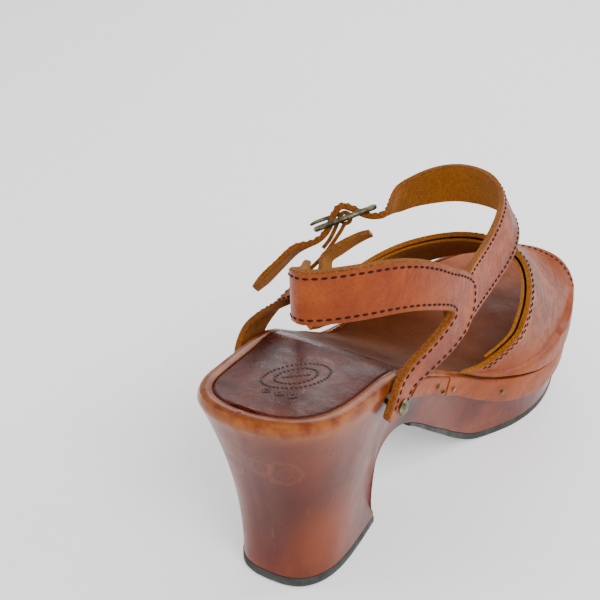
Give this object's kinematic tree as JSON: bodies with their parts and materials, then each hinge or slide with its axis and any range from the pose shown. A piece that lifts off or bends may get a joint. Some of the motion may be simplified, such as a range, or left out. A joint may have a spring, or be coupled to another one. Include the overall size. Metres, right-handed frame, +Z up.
{
  "type": "wooden clog",
  "caption": "Open-toe platform clog with a tall carved wooden heel and sole, tacked leather vamp, heel strap and buckled instep strap.",
  "frame": {"origin": "centre of the bounding box in plan, on the ground under the heel lift and ball", "axes": "+Z up, +X to the outer (lateral) side of this left shoe, -Y toward the toe and +Y toward the heel"},
  "size_m": [0.1068, 0.2404, 0.1246],
  "materials": {
    "stained_wood": "blotchy red-brown stain under satin lacquer",
    "tan_leather": "semi-gloss burnished tan leather",
    "suede": "golden flesh-side suede",
    "pad_leather": "dark polished heel pad",
    "sock_leather": "worn matte sock leather",
    "black_rubber": "matte black",
    "antique_brass": "dull antique brass"
  },
  "bodies": {
    "clog_base": {"wood_sole": "stained_wood", "heel_pad": "pad_leather", "insole_sock": "sock_leather", "heel_top_lift": "black_rubber", "forepart_outsole": "black_rubber", "rand_forepart": "tan_leather", "rand_waist_medial": "tan_leather", "rand_waist_lateral": "tan_leather", "vamp": "tan_leather", "vamp_lining": "suede", "strap_tack_medial": "antique_brass", "strap_tack_lateral": "antique_brass", "rand_tack_medial_1": "antique_brass", "rand_tack_medial_2": "antique_brass", "rand_tack_medial_3": "antique_brass", "rand_tack_medial_4": "antique_brass", "rand_tack_lateral_1": "antique_brass", "rand_tack_lateral_2": "antique_brass", "rand_tack_lateral_3": "antique_brass", "rand_tack_lateral_4": "antique_brass", "lift_nail_1": "antique_brass", "lift_nail_2": "antique_brass", "lift_nail_3": "antique_brass", "lift_nail_4": "antique_brass"},
    "ankle_straps": {"quarter_heel_strap": "tan_leather", "instep_strap": "tan_leather", "buckle_backing_tab": "tan_leather", "buckle_billet": "tan_leather"},
    "buckle_frame_body": {"buckle_frame": "antique_brass"},
    "buckle_prong_body": {"buckle_prong": "antique_brass"}
  },
  "joints": [
    {"name": "strap_fold", "type": "hinge", "parent": "clog_base", "child": "ankle_straps", "pos_m": [-0.00611, 0.06456, 0.0634], "axis": [1, 0, 0], "range_deg": [-26, 3]},
    {"name": "buckle_rock", "type": "hinge", "parent": "ankle_straps", "child": "buckle_frame_body", "pos_m": [0.02689, -0.01085, 0.09], "axis": [0.4289, -0.808, -0.404], "range_deg": [-2.5, 2.5]},
    {"name": "prong_lift", "type": "hinge", "parent": "buckle_frame_body", "child": "buckle_prong_body", "pos_m": [0.02689, -0.01085, 0.09], "axis": [0.4289, -0.808, -0.404], "range_deg": [0, 5]}
  ]
}
